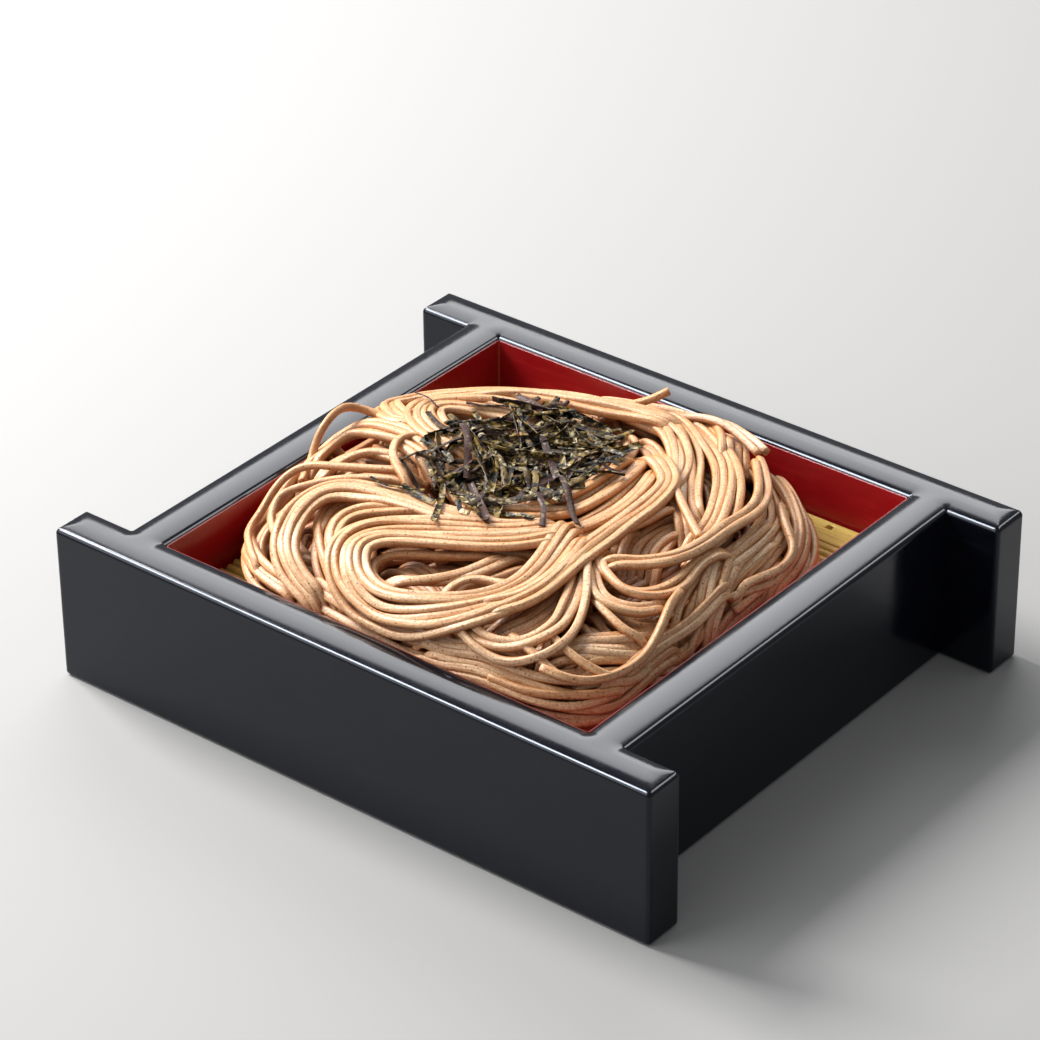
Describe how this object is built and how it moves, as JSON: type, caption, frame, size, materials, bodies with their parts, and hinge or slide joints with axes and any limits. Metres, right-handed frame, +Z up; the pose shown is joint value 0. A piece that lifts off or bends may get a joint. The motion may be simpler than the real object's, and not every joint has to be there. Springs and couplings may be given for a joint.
{
  "type": "zaru soba in a lacquer tray",
  "caption": "Cold buckwheat noodles heaped on a bamboo mat in a square black lacquer tray with a red inside, topped with shredded nori.",
  "frame": {"origin": "on the ground under the middle of the tray", "axes": "+X along the two long boards, +Y towards the back board, +Z up"},
  "size_m": [0.228, 0.19, 0.0737],
  "materials": {
    "black_lacquer": "glossy black lacquer outside, glossy red lacquer inside the cell",
    "bamboo": "smooth split bamboo, satin",
    "noodle": "moist boiled buckwheat dough with fine brown specks",
    "nori": "toasted seaweed, dark green with olive mottling and a slight sheen"
  },
  "bodies": {
    "root": {"tray": "black_lacquer", "bamboo_mat": "bamboo", "noodles": "noodle", "nori": "nori"}
  },
  "joints": []
}
